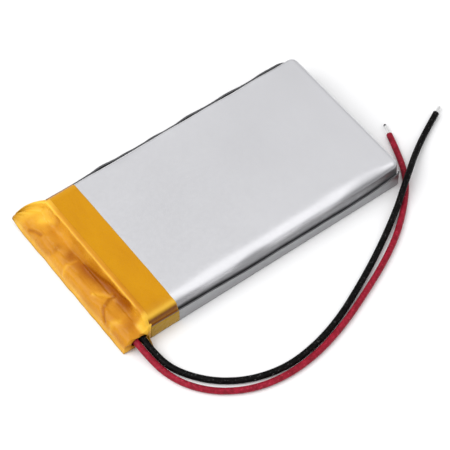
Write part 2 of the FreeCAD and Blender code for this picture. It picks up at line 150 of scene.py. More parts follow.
class Look:
    """A node material under construction, with object coordinates in millimetres."""

    def __init__(self, name, **sockets):
        self.material = bpy.data.materials.new(name)
        self.material.use_nodes = True
        tree = self.material.node_tree
        self.nodes, self.links = tree.nodes, tree.links
        self.shader = self.nodes["Principled BSDF"]
        for socket, value in sockets.items():
            self.shader.inputs[socket.replace("_", " ")].default_value = value
        place = self.nodes.new("ShaderNodeTexCoord")
        scale = self.nodes.new("ShaderNodeVectorMath")
        scale.operation = "SCALE"
        scale.inputs["Scale"].default_value = 1000.0
        self.links.new(place.outputs["Object"], scale.inputs[0])
        self.place = scale.outputs[0]

    def noise(self, scale, detail=3.0, stretch=None):
        where = self.place
        if stretch:
            mapping = self.nodes.new("ShaderNodeMapping")
            mapping.inputs["Scale"].default_value = stretch
            self.links.new(where, mapping.inputs["Vector"])
            where = mapping.outputs[0]
        node = self.nodes.new("ShaderNodeTexNoise")
        node.inputs["Scale"].default_value = scale
        node.inputs["Detail"].default_value = detail
        node.inputs["Roughness"].default_value = NOISE_ROUGHNESS
        self.links.new(where, node.inputs["Vector"])
        return node.outputs["Fac"]

    def attribute(self, name):
        node = self.nodes.new("ShaderNodeAttribute")
        node.attribute_name = name
        return node.outputs["Fac"]

    def ramp(self, fac, *stops):
        node = self.nodes.new("ShaderNodeValToRGB")
        elements = node.color_ramp.elements
        while len(elements) < len(stops):
            elements.new(0.5)
        for element, (position, color) in zip(elements, stops):
            element.position = position
            element.color = (*color, 1)
        self.links.new(fac, node.inputs["Fac"])
        return node.outputs["Color"]

    def mix(self, fac, a, b):
        node = self.nodes.new("ShaderNodeMix")
        node.data_type = "RGBA"
        for socket, value in ((node.inputs[0], fac), (node.inputs[6], a), (node.inputs[7], b)):
            if isinstance(value, bpy.types.NodeSocket):
                self.links.new(value, socket)
            else:
                socket.default_value = value if isinstance(value, float) else (*value, 1)
        return node.outputs[2]

    def spread(self, fac, low, high, from_low=0.3, from_high=0.7):
        node = self.nodes.new("ShaderNodeMapRange")
        for socket, value in zip(node.inputs[1:5], (from_low, from_high, low, high)):
            socket.default_value = value
        self.links.new(fac, node.inputs[0])
        return node.outputs[0]

    def bump(self, *layers):
        """Layers are (height, distance in mm), stacked one on another."""
        normal = None
        for height, distance in layers:
            node = self.nodes.new("ShaderNodeBump")
            node.inputs["Strength"].default_value = 1.0
            node.inputs["Distance"].default_value = distance * MM
            self.links.new(height, node.inputs["Height"])
            if normal:
                self.links.new(normal, node.inputs["Normal"])
            normal = node.outputs[0]
        self.links.new(normal, self.shader.inputs["Normal"])

    def set(self, socket, value):
        self.links.new(value, self.shader.inputs[socket])


def laminate_look(name, top, wall):
    """Satin aluminium laminate: a darker copy of its colour is mixed in as painted shade on the
    walls and seals; 'edge' darkens its cut edges, partly their own colour and partly painted shadow
    of the gap behind each seal, and paints shadow on the seals' inside faces.
    """
    look = Look(name, Metallic=0.85, Coat_Weight=0.12, Coat_Roughness=0.25)
    cloud = look.noise(0.05, 2.0)
    grain = look.noise(3.5, 2.0, (0.15, 1.0, 1.0))
    flat = look.ramp(cloud, (0.3, [c * 0.965 for c in top]), (0.7, [c * 1.02 for c in top]))
    drawn = look.ramp(grain, (0.3, [c * 0.9 for c in wall]), (0.7, [c * 1.08 for c in wall]))
    with_painted_shade = look.mix(look.attribute("drawn"), flat, drawn)
    look.set("Base Color", look.mix(look.attribute("edge"), with_painted_shade, CUT_EDGE_AND_SHADOW))
    look.set("Roughness", look.spread(look.noise(1.2, 3.0), 0.30, 0.40))
    look.bump((look.noise(0.12, 1.0), 0.02), (look.noise(6.0, 2.0), 0.0016))
    return look.material


def tape_look(name, thin, thick, dark):
    """Glossy amber film: 'fold' paints shade in its creases and steps, a paler mix paints
    highlights and also pales the thin lip rim, and 'edge' paints shade on its sides and undersides.
    """
    look = Look(name, IOR=1.5, Specular_IOR_Level=0.15, Coat_Weight=0.06, Coat_Roughness=0.12)
    streak = look.noise(0.35, 4.0, (1.0, 0.35, 1.0))
    body = look.ramp(streak, (0.30, thick), (0.72, thin))
    body = look.mix(look.attribute("fold"), body, dark)
    body = look.mix(look.attribute("highlight_and_pale"), body, PALE_AND_HIGHLIT_TAPE)
    look.set("Base Color", look.mix(look.attribute("edge"), body, SHADED_TAPE))
    look.set("Roughness", look.spread(look.noise(0.9, 3.0), 0.22, 0.38))
    look.bump((look.noise(0.8, 3.0, (1.0, 0.5, 1.0)), 0.06), (look.noise(9.0, 2.0), 0.002))
    return look.material


def insulation_look(name, deep, bright, highlight_fleck, shine):
    """Soft extruded insulation with faint draw lines and scuffs; light flecks in its colour are
    painted highlights.
    """
    look = Look(name, IOR=1.45, Specular_IOR_Level=shine)
    body = look.ramp(look.noise(1.3, 4.0), (0.35, deep), (0.68, bright))
    highlight_flecks = look.spread(look.noise(2.6, 2.0), 0.0, 1.0, 0.62, 0.74)
    look.set("Base Color", look.mix(highlight_flecks, body, highlight_fleck))
    look.set("Roughness", look.spread(look.noise(2.2, 4.0), 0.36, 0.60))
    look.bump((look.noise(3.0, 4.0), 0.02), (look.noise(14.0, 2.0), 0.006))
    return look.material


def metal_look(name, color, rough, stretch=None):
    look = Look(name, Metallic=1.0)
    grain = look.noise(6.0, 4.0, stretch)
    look.set("Base Color", look.ramp(grain, (0.3, [c * 0.8 for c in color]), (0.7, color)))
    look.set("Roughness", look.spread(look.noise(3.0, 3.0), rough * 0.8, min(1, rough * 1.3)))
    look.bump((grain, 0.01))
    return look.material


def tip_look(name, start, end):
    """Bright tinned strands whose cut ends are dark, from start to end along y in mm."""
    look = Look(name, Metallic=1.0)
    parts = look.nodes.new("ShaderNodeSeparateXYZ")
    look.links.new(look.place, parts.inputs[0])
    bright = look.ramp(look.noise(6.0, 4.0), (0.3, (0.84, 0.84, 0.83)), (0.7, (0.96, 0.96, 0.95)))
    cut = look.spread(parts.outputs["Y"], 0.0, 1.0, start, end)
    look.set("Base Color", look.mix(cut, bright, CUT_STRANDS))
    look.set("Roughness", look.spread(look.noise(3.0, 3.0), 0.34, 0.5))
    look.bump((look.noise(5.0, 2.0), 0.02))
    return look.material


def plain_look(name, low, high, rough, scale=1.5, coat=0.0):
    """Mottled non-metal: mouldings, ceramic, paper, films and coatings."""
    look = Look(name, Coat_Weight=coat, Coat_Roughness=0.2)
    grain = look.noise(scale, 5.0)
    look.set("Base Color", look.ramp(grain, (0.3, low), (0.7, high)))
    look.set("Roughness", look.spread(look.noise(scale * 2, 3.0), rough * 0.85, rough * 1.15))
    look.bump((look.noise(scale * 4, 3.0), 0.01))
    return look.material


# The second colour of each laminate is a darker copy of the first: painted shade for the walls and
# seals, which face away from the light. The seal sheet's colours are kept darker than the top's,
# painted shade as well.
CUP_LOOK = laminate_look("pouch_laminate_top", (0.775, 0.775, 0.795), (0.26, 0.26, 0.27))
COVER_LOOK = laminate_look("pouch_laminate_seal", (0.42, 0.42, 0.43), (0.31, 0.31, 0.32))
BAND_LOOK = tape_look("amber_tape_flat", (0.60, 0.268, 0.001), (0.55, 0.232, 0.001),
                      (0.17, 0.045, 0.0))
CAP_LOOK = tape_look("amber_tape_wrinkled", (0.70, 0.315, 0.020), (0.54, 0.205, 0.006),
                     (0.34, 0.092, 0.001))
# the fourth colour is for the painted highlight flecks
RED_LOOK = insulation_look("red_silicone", (0.20, 0.004, 0.014), (0.36, 0.010, 0.032),
                           (0.46, 0.05, 0.075), 0.2)
BLACK_LOOK = insulation_look("black_silicone", (0.001, 0.001, 0.001), (0.006, 0.005, 0.005),
                             (0.10, 0.10, 0.10), 0.08)
TIN_LOOK = metal_look("tinned_strands", (0.95, 0.95, 0.94), 0.40)


# ------------------------------------------------------------------ meshes
def mesh_object(name, points, faces, material, attributes):
    """Points are in millimetres. Attributes are {name: one value a point}."""
    mesh = bpy.data.meshes.new(name)
    mesh.from_pydata([tuple(c * MM for c in p) for p in points], [], faces)
    for key, values in attributes.items():
        layer = mesh.attributes.new(key, "FLOAT", "POINT")
        layer.data.foreach_set("value", [float(v) for v in values])
    build = bmesh.new()
    build.from_mesh(mesh)
    bmesh.ops.recalc_face_normals(build, faces=build.faces)
    build.to_mesh(mesh)
    build.free()
    mesh.materials.append(material)
    mesh.shade_smooth()
    piece = bpy.data.objects.new(name, mesh)
    bpy.context.collection.objects.link(piece)
    return piece


def grid_faces(rows, columns, wrap=False, base=0):
    faces = []
    for i in range(rows - 1):
        for j in range(columns if wrap else columns - 1):
            k = (j + 1) % columns
            faces.append((base + i * columns + j, base + i * columns + k,
                          base + (i + 1) * columns + k, base + (i + 1) * columns + j))
    return faces


def smooth_step(value, low, high):
    t = min(1.0, max(0.0, (value - low) / (high - low)))
    return t * t * (3 - 2 * t)


def ripple(x, y, z, scale):
    """Smooth unevenness between about -1 and 1. Each z is a pattern of its own."""
    return noise.noise(Vector((x * scale, y * scale, z)))


def rides(piece, slot, *nodes):
    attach(piece, ROOT)
    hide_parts(*nodes)
    return piece


# ------------------------------------------------------------------ leads
LEAD_D = 1.25  # millimetres over the insulation
REST = 0.64  # height of a lead's centre where it lies on the surface
RED_ROUTE = [
    (-29.8, -13.2, 2.3), (-29.8, -16.9, 2.3), (-29.5, -20.6, 1.35),
    (-28.9, -24.6, REST), (-27.2, -29.2, REST), (-23.6, -33.6, REST),
    (-18.0, -37.0, REST), (-11.2, -38.4, REST), (-4.0, -37.9, REST),
    (3.2, -36.0, REST), (10.2, -33.2, REST), (17.2, -30.1, REST),
    (23.4, -26.7, REST), (28.9, -22.4, REST), (33.6, -17.6, REST),
    (36.3, -12.0, REST), (38.0, -6.9, REST),
]
BLACK_ROUTE = [
    (-28.4, -13.2, 2.3), (-28.4, -16.9, 2.3), (-28.2, -20.5, 1.4),
    (-27.5, -24.2, REST), (-25.4, -28.3, REST), (-21.8, -32.3, REST),
    (-16.6, -35.4, REST), (-10.2, -36.9, REST), (-3.4, -36.3, REST),
    (3.4, -34.4, REST), (10.2, -31.4, REST), (16.8, -28.1, REST),
    (22.6, -24.8, REST), (27.4, -22.0, 1.5), (30.9, -19.6, 2.45),
    (34.6, -17.0, 2.45), (38.6, -14.0, 1.25), (43.6, -10.9, REST),
    (48.8, -8.3, REST),
]


def route_curve(name, route):
    data = bpy.data.curves.new(name, "CURVE")
    data.dimensions = "3D"
    data.resolution_u = 12
    data.bevel_depth = LEAD_D / 2 * MM
    data.bevel_resolution = 6
    data.use_fill_caps = True
    spline = data.splines.new("NURBS")
    spline.points.add(len(route) - 1)
    for point, place in zip(spline.points, route):
        point.co = (*[c * MM for c in place], 1)
    spline.order_u = 3
    spline.use_endpoint_u = True
    piece = bpy.data.objects.new(name, data)
    bpy.context.collection.objects.link(piece)
    return piece


def make_lead(color, route, look):
    lead = route_curve(f"{color}_lead_wire", route)
    lead.data.materials.append(look)
    rides(lead, f"{color}_insulation", f"{color}_lead")


make_lead("red", RED_ROUTE, RED_LOOK)
make_lead("black", BLACK_ROUTE, BLACK_LOOK)


# ------------------------------------------------------------------ pouch
CORNER = 1.5  # of the cup in plan
CROWN = 0.10  # from the cup's wall height up to its highest point
BODY_FLAT = 6.4  # the flat top before its crown
LEDGE = 3.2  # the overhang's height over the board
LAYER = 0.15  # one laminate sheet
SEAL_GAP = 0.205  # from the wall to a folded seal's inner layer
WALL_BULGE = 0.13
EDGE_DENT = 0.16
WRAP_RADIUS = 1.1  # of the folded seals round the far corners
SEAL_START_X = -26.2
SEAL_FOOT = 0.08
SEAL_STATIONS, WRAP_STATIONS = 150, 12
SEAL_LEVELS = (0.0, 0.04, 0.1, 0.25, 0.45, 0.65, 0.82, 0.94, 0.985, 1.0)
WALL_ROWS, EDGE_ROWS = 7, 12
SIDE_CELLS, END_CELLS, CORNER_CELLS = 90, 46, 8
COVER_RIM = [(0.5, 0.0), (0.18, 0.02), (0.04, 0.09), (0.0, 0.16), (0.06, 0.24), (0.6, 0.25)]


def near_seal_top(x):
    """The near seal is lowest past the middle and climbs to the corner fold."""
    height = 2.35 + max(0.0, 15 - x) * 0.035 + max(0.0, x - 15) ** 3 * 0.00027
    dip = 0.25 * math.exp(-((x + 4) / 6) ** 2) - 0.2 * math.exp(-((x - 14) / 7) ** 2)
    return height - dip + 0.07 * ripple(x, 0, 1.7, 0.25)


def far_seal_top(x):
    """The far seal is trimmed less evenly."""
    bump = 0.16 * math.exp(-((x + 15) / 3.5) ** 2) + 0.14 * math.exp(-((x - 13) / 9) ** 2)
    return 5.56 + 0.003 * (x + 20) + bump + 0.13 * ripple(x, 0, 5.2, 0.16)


def outline(inset, x0, x1, half, corner):
    """A rounded rectangle in plan: (x, y, outward x, outward y), from the near-left corner."""
    x0, x1, half = x0 + inset, x1 - inset, half - inset
    radius = max(0.05, corner - inset * 0.6)
    points = []

    def run(ax, ay, bx, by, nx, ny, cells):
        for i in range(cells):
            t = i / cells
            points.append((ax + (bx - ax) * t, ay + (by - ay) * t, nx, ny))

    def turn(cx, cy, start):
        for i in range(CORNER_CELLS):
            a = start + math.pi / 2 * i / CORNER_CELLS
            points.append((cx + radius * math.cos(a), cy + radius * math.sin(a),
                           math.cos(a), math.sin(a)))

    run(x0 + radius, -half, x1 - radius, -half, 0, -1, SIDE_CELLS)
    turn(x1 - radius, -half + radius, -math.pi / 2)
    run(x1, -half + radius, x1, half - radius, 1, 0, END_CELLS)
    turn(x1 - radius, half - radius, 0)
    run(x1 - radius, half, x0 + radius, half, 0, 1, SIDE_CELLS)
    turn(x0 + radius, half - radius, math.pi / 2)
    run(x0, half - radius, x0, -half + radius, -1, 0, END_CELLS)
    turn(x0 + radius, -half + radius, math.pi)
    return points


def edge_reach(x, nx, ny):
    """How far the top edge's rounding reaches in and down, by place and the wall's facing."""
    near = max(0.0, -ny) ** 2 * smooth_step(X_END - x, 1.4, 8.5)
    far, terminal = max(0.0, ny) ** 2, max(0.0, -nx) ** 2
    return (1.3 + 1.9 * near - 0.5 * far - 0.8 * terminal,
            1.2 + 1.0 * near - 0.5 * far - 0.7 * terminal)


def edge_drop(inward, reach, drop):
    """Height of the rounded top edge at a distance in from the wall."""
    away = min(1.0, max(0.0, 1 - inward / reach))
    return BODY_FLAT - drop + drop * math.sqrt(1 - away * away)


def body_top(y):
    """Height of the body's rounded long edges at its terminal end."""
    near = edge_drop(y + HALF, *edge_reach(0, 0, -1))
    far = edge_drop(HALF - y, *edge_reach(0, 0, 1))
    return min(near, far)


def top_height(x, y):
    """The top's slight crown and the faint hollows that handling leaves."""
    inset = min(HALF - abs(y), x - WALL_X, X_END - x)
    inside = smooth_step(inset, 1.0, 8.0)
    return TOP - CROWN + 0.09 * inside + 0.035 * ripple(x, y, 3.1, 0.07) * inside


def edge_point(place, turn, grow=0.0):
    """A point of the top edge: turn is 0 at the wall and 1 at the flat top."""
    x, y, nx, ny = place
    reach, drop = edge_reach(x, nx, ny)
    a = turn * math.pi / 2
    inward = reach * (1 - math.cos(a)) - grow * math.cos(a)
    px, py = x - nx * inward, y - ny * inward
    foot = TOP - CROWN - drop
    height = foot + (top_height(px, py) - foot) * math.sin(a) + grow * math.sin(a)
    return px, py, height if grow or px > BAND_EDGE_X - 0.4 else under_tape(py, height)


def under_tape(y, height):
    """Under the band the body's corners are pressed down to the shape of its long edges."""
    return min(height, body_top(y) - 0.04)


def filled(points, rim, step, height):
    """Fills a rim loop with an even net of triangles. Returns the new points and faces."""
    loop = [Vector(points[i][:2]) for i in rim]
    xs, ys = [p.x for p in loop], [p.y for p in loop]
    seeds = []
    x = min(xs) + step
    while x < max(xs) - step * 0.6:
        y = min(ys) + step
        while y < max(ys) - step * 0.6:
            seeds.append(Vector((x, y)))
            y += step
        x += step
    edges = [(i, (i + 1) % len(loop)) for i in range(len(loop))]
    verts, _, faces, origin, _, _ = geometry.delaunay_2d_cdt(loop + seeds, edges, [], 1, 1e-7)
    index, added = {}, []
    for i, vert in enumerate(verts):
        source = [o for o in origin[i] if o < len(loop)]
        if source:
            index[i] = rim[source[0]]
        else:
            index[i] = len(points) + len(added)
            added.append((vert.x, vert.y, height(vert.x, vert.y)))
    return added, [tuple(index[i] for i in face) for face in faces]


def slab(rows, half):
    """A closed sheet from rows of (point, normal). The last row of each is its cut edge."""
    count, width = len(rows), len(rows[0])
    points = [p + n * s * half for s in (1, -1) for row in rows for p, n in row]
    total = count * width
    faces = grid_faces(count, width) + grid_faces(count, width, base=total)
    for i in range(count - 1):
        for j in (0, width - 1):
            a, b = i * width + j, (i + 1) * width + j
            faces.append((a, b, b + total, a + total))
    for j in range(width - 1):
        for i in (0, count - 1):
            a, b = i * width + j, i * width + j + 1
            faces.append((a, b, b + total, a + total))
    return [tuple(p) for p in points], faces


def seal_rows(seal, gap, slack):
    """Rows of a folded seal's layer, from the terminal end along the side and round the corner."""
    side, turn_x = seal.side, X_END - WRAP_RADIUS
    stations = [SEAL_START_X + i * (turn_x - SEAL_START_X) / SEAL_STATIONS
                for i in range(SEAL_STATIONS + 1)]
    plan = [(x, side * (HALF + gap), Vector((0, side, 0)), x) for x in stations]
    for i in range(1, WRAP_STATIONS + 1):
        a = math.radians(seal.wrap) * i / WRAP_STATIONS
        out = Vector((math.sin(a), side * math.cos(a), 0))
        plan.append((turn_x + WRAP_RADIUS * out.x,
                     side * (HALF + gap - WRAP_RADIUS) + WRAP_RADIUS * out.y, out,
                     turn_x + WRAP_RADIUS * a))
    rows = []
    for x, y, out, along in plan:
        top = seal.top_of(min(along, 32.4)) - slack
        top -= seal.trim * smooth_step(along, seal.trim_from, 32.2)
        row = []
        for t in SEAL_LEVELS:
            z = SEAL_FOOT + (top - SEAL_FOOT) * t
            tuck = 0.30 * (1 - t / 0.04) if t < 0.04 else 0.0
            sway = seal.sway * max(0.0, 0.25 + ripple(along, z * 0.4, 8.0 + side, 0.22)) * t ** 2
            sway *= smooth_step(x, BAND_EDGE_X + 0.2, BAND_EDGE_X + 3.0)
            row.append((Vector((x, y, z)) + out * (sway - tuck), out))
        rows.append(row)
    return rows


def seal_edge_values(rows, cut, inner_shade):
    """How dark the cut edge is, partly its own colour and partly painted shadow of the gap behind
    it; the inside faces get painted shadow, the far seal's the most.
    """
    values = []
    for face in (0, 1):
        for row in rows:
            for j in range(len(row)):
                value = cut if j == len(row) - 1 else 0.0
                values.append(max(value, inner_shade if face and j > 3 else 0.0))
    return values


def add(target, points, faces, drawn, edge):
    base = len(target["points"])
    target["points"] += points
    target["faces"] += [tuple(i + base for i in f) for f in faces]
    target["drawn"] += drawn
    target["edge"] += edge


def new_shape():
    return {"points": [], "faces": [], "drawn": [], "edge": []}


def shape_object(name, shape, look):
    return mesh_object(name, shape["points"], shape["faces"], look,
                       {"drawn": shape["drawn"], "edge": shape["edge"]})


# side of the body, height, sway at the top, degrees round the corner, shade of the inside face,
# how much the far end is trimmed and from where
Seal = namedtuple("Seal", "side top_of sway wrap shade trim trim_from")
SEALS = (
    Seal(side=-1, top_of=near_seal_top, sway=0.10, wrap=58, shade=0.10, trim=0.5, trim_from=31.6),
    Seal(side=1, top_of=far_seal_top, sway=0.34, wrap=40, shade=0.55, trim=1.3, trim_from=28.5),
)


def make_cup():
    shape = new_shape()
    plan = outline(0, WALL_X, X_END - 0.1, HALF, CORNER)
    points, drawn = [], []
    for i in range(WALL_ROWS):
        for place in plan:
            x, y, z = edge_point(place, 0)
            bulge = WALL_BULGE * math.sin(math.pi * min(1.0, 0.25 + i / 8)) * (place[2] > -0.05)
            points.append((x + bulge * place[2], y + bulge * place[3],
                           0.2 + (z - 0.2) * i / (WALL_ROWS - 1)))
            # the walls take the full painted shade
            drawn.append(1.0)
    for i in range(1, EDGE_ROWS + 1):
        turn = i / EDGE_ROWS
        for place in plan:
            x, y, z = edge_point(place, turn)
            dent = ripple(x, i * 0.12, 4.4, 0.13) * math.sin(math.pi * i / EDGE_ROWS) * EDGE_DENT
            points.append((x + dent * place[2] * 0.3, y + dent * place[3] * 0.3, z + dent))
            # painted shade fades out over the rounding of the top edge, its border waved along the
            # side
            shade = 0.62 + 0.8 * ripple(x, 0, 6.6, 0.09)
            drawn.append(1 - smooth_step(turn, 0.05, max(0.3, shade)))
    count = len(plan)
    faces = grid_faces(WALL_ROWS + EDGE_ROWS, count, wrap=True)
    faces.append(tuple(range(count)))
    rim = list(range(len(points) - count, len(points)))

    def skin(x, y):
        height = top_height(x, y)
        return under_tape(y, height) if x < BAND_EDGE_X - 0.4 else height

    inner, fill = filled(points, rim, 1.1, skin)
    points += inner
    drawn += [0.0] * len(inner)
    add(shape, points, faces + fill, drawn, [0.0] * len(points))
    for seal in SEALS:
        rows = seal_rows(seal, SEAL_GAP + LAYER / 2, 0.06)
        points, faces = slab(rows, LAYER / 2 - 0.005)
        # the seals' inner layer: painted wall shade, dark cut edges and painted shadow on its
        # inside face
        add(shape, points, faces, [0.9] * len(points), seal_edge_values(rows, 0.10, seal.shade))
    return shape_object("pouch_body", shape, CUP_LOOK)


def make_cover():
    shape = new_shape()
    points = []
    for inset, z in COVER_RIM:
        points += [(x, y, z) for x, y, _, _ in outline(inset, WALL_X, X_END, SEAL_FACE - 0.05, 2.4)]
    count = len(points) // len(COVER_RIM)
    faces = grid_faces(len(COVER_RIM), count, wrap=True)
    rim = list(range(count))

    def underside(x, y):
        inset = min(HALF - abs(y), x - WALL_X, X_END - x)
        return 0.02 * smooth_step(inset, 0.5, 4.0) * (1 + ripple(x, y, 9.0, 0.12))

    inner, fill = filled(points, rim, 1.6, underside)
    points += inner
    top_rim = tuple(range((len(COVER_RIM) - 1) * count, len(COVER_RIM) * count))
    add(shape, points, faces + fill + [top_rim], [0.15] * len(points), [0.0] * len(points))
    for seal in SEALS:
        rows = seal_rows(seal, SEAL_GAP + LAYER * 1.5, 0.0)
        points, faces = slab(rows, LAYER / 2 - 0.005)
        # the seals' outer layer: painted wall shade and dark cut edges that also paint the gap's
        # shadow
        add(shape, points, faces, [0.75] * len(points), seal_edge_values(rows, 0.72, 0.0))
    return shape_object("pouch_cover_sheet", shape, COVER_LOOK)


rides(make_cup(), "pouch_laminate_outer", "pouch_cup")
rides(make_cover(), "pouch_laminate_cover", "pouch_cover")


# ------------------------------------------------------------------ tape
FILM = 0.07  # thickness of the tape
FILM_GAP = 0.06  # from the pouch to the tape's outer face
BAND_START_X = -26.35
BAND_STATIONS = 26
BAND_UNDER_Y = (2.0, 6.0, 10.0, 14.0, 16.2)


def band_section(x):
    """The band's path round the body at one station: (y, z, fold, edge, pale) from the middle
    of the underside, up the near side, over the top and down the far side; the last three paint
    shade and highlights."""
    near, far = near_seal_top(x), far_seal_top(x)
    face = SEAL_FACE + FILM_GAP
    wrinkle = 0.03 * ripple(x, 0, 2.0, 0.9)
    # fold paints shade in the step over each seal and on the steep near edge; edge paints shade on
    # the sides and underneath
    path = [(-y, 0.03, 0.0, 0.3, 0.0) for y in BAND_UNDER_Y]
    path += [(-face + 0.22, 0.06, 0, 0.8, 0), (-face + 0.04, 0.25, 0, 0.9, 0)]
    path += [(-face - wrinkle * t, 0.3 + (near - 0.5) * t, 0, 0.85, 0.0)
             for t in (0.2, 0.5, 0.8, 1.0)]
    path += [(-face + 0.04, near - 0.08, 0.5, 0.5, 0), (-face + 0.22, near + 0.03, 0.95, 0, 0),
             (-face + 0.34, near + 0.12, 1.0, 0, 0), (-face + 0.42, near + 0.26, 0.7, 0, 0)]
    place = (x, -HALF, 0, -1)
    for i in range(2, 17):
        _, y, z = edge_point(place, i / 16, FILM_GAP)
        # painted highlight along the rounding of the near edge
        shine = math.exp(-((i - 6.5) / 2.2) ** 2) * 0.75
        path.append((y, z, min(1.0, max(0, 1 - (i - 3) / 5)), 0.0, shine))
    flat = HALF - 3.2
    for i in range(1, 40):
        y = -flat + (flat + HALF - 0.8) * i / 40
        path.append((y, top_height(x, y) + FILM_GAP, 0.0, 0.0, 0.0))
    place = (x, HALF, 0, 1)
    for i in range(12, 6, -1):
        _, y, z = edge_point(place, i / 12, FILM_GAP)
        path.append((y, z, 0.0, 0.0, 0.1))
    path += [(face - 0.25, far + 0.16, 0.9, 0, 0), (face - 0.06, far + 0.04, 1.0, 0.3, 0),
             (face, far - 0.15, 0.2, 0.8, 0)]
    path += [(face + wrinkle * t, 0.3 + (far - 0.5) * t, 0, 0.85, 0) for t in (0.8, 0.5, 0.2)]
    path += [(face - 0.04, 0.25, 0, 0.9, 0), (face - 0.22, 0.06, 0, 0.8, 0)]
    path += [(y, 0.03, 0.0, 0.3, 0.0) for y in reversed(BAND_UNDER_Y)]
    return path


def solid_film(piece):
    film = piece.modifiers.new("film", "SOLIDIFY")
    film.thickness = FILM * MM
    film.offset = -1.0
    film.use_even_offset = False


def make_band():
    stations = [BAND_START_X + i * (BAND_EDGE_X - BAND_START_X) / BAND_STATIONS
                for i in range(BAND_STATIONS + 1)]
    points, fold, edge, highlight_and_pale = [], [], [], []
    for x in stations:
        for y, z, f, e, s in band_section(x):
            ragged = 0.05 * ripple(y, z, 4.0, 0.35) if x == stations[-1] else 0.0
            along = (x - stations[0]) / (stations[-1] - stations[0])
            ragged += 0.40 * along ** 3 * smooth_step(-y, 14.5, 16.8)
            points.append((x + ragged, y, z))
            fold.append(f)
            edge.append(e)
            # painted highlight along the band's end
            highlight_and_pale.append(s + (0.35 if x > BAND_EDGE_X - 0.15 else 0.0))
    width = len(points) // len(stations)
    band = mesh_object("amber_tape_band", points, grid_faces(len(stations), width, wrap=True),
                       BAND_LOOK, {"fold": fold, "edge": edge, "highlight_and_pale": highlight_and_pale})
    solid_film(band)
    return band


# Section of the overhang from the top edge down to the board, out to the lip and back under
CAP_SECTION = [(-26.0, 6.50), (-26.62, 6.51), (-26.98, 6.2), (-27.12, 5.3), (-27.4, 4.3),
               (-28.1, 3.62), (-29.3, 3.5), (-30.5, 3.36), (-31.45, 2.85), (-31.95, 1.9),
               (-32.2, 0.9), (-32.48, 0.2)]
CAP_UNDER = [(-32.3, 0.03), (-31.0, 0.03), (-29.0, 0.03), (-27.2, 0.03), (-26.0, 0.03)]
CAP_STEPS, CAP_STATIONS, GATHER_STATIONS = 72, 150, 14
SECTION_LENGTH = 10.4  # millimetres down the section
NEAR_END, FAR_END, GATHER_TIP = -16.8, 16.5, 19.95
GATHER_X, GATHER_Z = -32.45, 1.5  # the point that the far end is pulled to
LEAD_HOLE = (-29.08, 2.12, 1.68, 1.00)  # centre x, centre z, half width, half height

# Folds of the tape: path as (y, distance in mm down the section), depth, width, painted shade in
# the fold (a painted highlight where negative)
FOLDS = [
    ([(4.6, 5.7), (1.2, 5.2), (-3.0, 4.5), (-7.0, 3.8), (-11.2, 3.1)], 0.17, 0.90, 0.85),
    ([(1.5, 4.9), (-2.0, 4.5), (-6.5, 3.6), (-10.2, 3.0)], 0.10, 0.34, 0.50),
    ([(-10.2, 8.2), (-8.3, 6.9), (-7.3, 5.4), (-7.5, 4.4)], 0.20, 0.30, 0.75),
    ([(-9.4, 4.2), (-12.2, 4.4), (-14.4, 5.6)], 0.14, 0.80, 0.55),
    ([(3.0, 8.8), (3.6, 6.9), (3.2, 5.6)], -0.09, 0.28, -0.40),
    ([(-4.6, 6.6), (-6.0, 5.4), (-7.6, 4.7)], -0.12, 0.34, -0.45),
    ([(14.9, 8.0), (13.6, 7.3), (12.2, 6.9)], 0.14, 0.26, 0.65),
    ([(11.0, 5.8), (8.0, 6.0), (5.8, 5.3)], 0.14, 0.70, 0.35),
    ([(14.8, 5.6), (12.8, 4.0), (13.0, 2.2)], -0.14, 0.60, -0.50),
    ([(9.0, 8.6), (7.6, 7.2), (7.9, 6.2)], 0.08, 0.40, 0.22),
    ([(-12.4, 8.8), (-11.6, 7.4), (-12.4, 6.4)], -0.08, 0.40, -0.30),
    ([(16.4, 3.6), (14.8, 2.8), (11.6, 2.9)], 0.14, 0.45, 0.35),
]


def through(points, t):
    """A smooth line through the points: t runs from 0 at the first to 1 at the last."""
    place = min(t, 0.99999) * (len(points) - 1)
    i, f = int(place), place - int(place)
    p = [Vector(points[max(0, min(len(points) - 1, i + k))]) for k in (-1, 0, 1, 2)]
    return 0.5 * (2 * p[1] + (p[2] - p[0]) * f + (2 * p[0] - 5 * p[1] + 4 * p[2] - p[3]) * f ** 2
                  + (3 * p[1] - p[0] - 3 * p[2] + p[3]) * f ** 3)


def path_distance(y, w, path):
    best = 1e9
    for (ay, aw), (by, bw) in zip(path, path[1:]):
        dy, dw = by - ay, bw - aw
        t = ((y - ay) * dy + (w - aw) * dw) / (dy * dy + dw * dw)
        t = max(0.0, min(1.0, t))
        best = min(best, math.hypot(y - ay - dy * t, w - aw - dw * t))
    return best


def relief(y, w):
    """Height of the tape's folds and small creases, the painted shade in them, the painted
    highlight on raised ones, and a random tone.
    """
    height = 0.11 * ripple(y, w, 0.5, 0.33) + 0.06 * ripple(y, w, 2.5, 0.85)
    crumple = abs(ripple(y * 0.8, w, 6.5, 1.25))
    height += 0.035 * (0.25 - crumple)
    shade_sheen_and_tone = 0.6 * max(0.0, 0.10 - crumple) + 0.30 * ripple(y, w, 9.0, 0.28)
    for path, depth, width, fold_shade in FOLDS:
        d = path_distance(y, w, path)
        height -= depth * math.exp(-(d / width) ** 2)
        height += 0.3 * depth * math.exp(-((d - 2.0 * width) / width) ** 2)
        shade_sheen_and_tone += fold_shade * math.exp(-(d / (1.25 * width)) ** 2)
    return height, shade_sheen_and_tone


